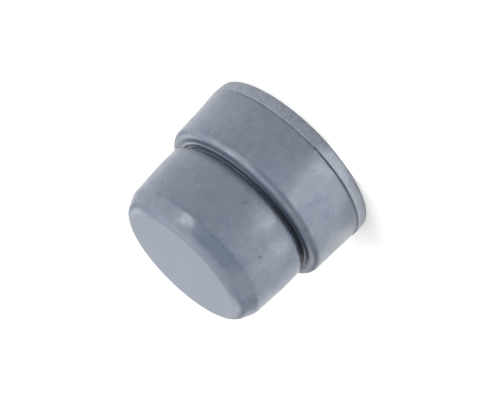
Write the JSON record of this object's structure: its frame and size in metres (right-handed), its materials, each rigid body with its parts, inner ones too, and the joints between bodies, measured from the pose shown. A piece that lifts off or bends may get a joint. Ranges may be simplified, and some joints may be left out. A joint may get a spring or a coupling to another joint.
{
  "type": "rubber stopper",
  "caption": "Moulded rubber stopper for a small sample tube: drafted collar with a trimmed rim, narrow groove, tapered plug with a lead-in cone, and a needle well in the head.",
  "frame": {"origin": "centre of the head's face, on the surface that the stopper stands on", "axes": "+Z along the stopper's axis, from the head's face up to the nose; X and Y may point any way round, because the part is round"},
  "size_m": [0.0134, 0.0134, 0.011],
  "materials": {
    "rubber": "satin blue-grey moulded rubber, slightly rougher on the trimmed rim"
  },
  "bodies": {
    "root": {"stopper": "rubber"}
  },
  "joints": []
}
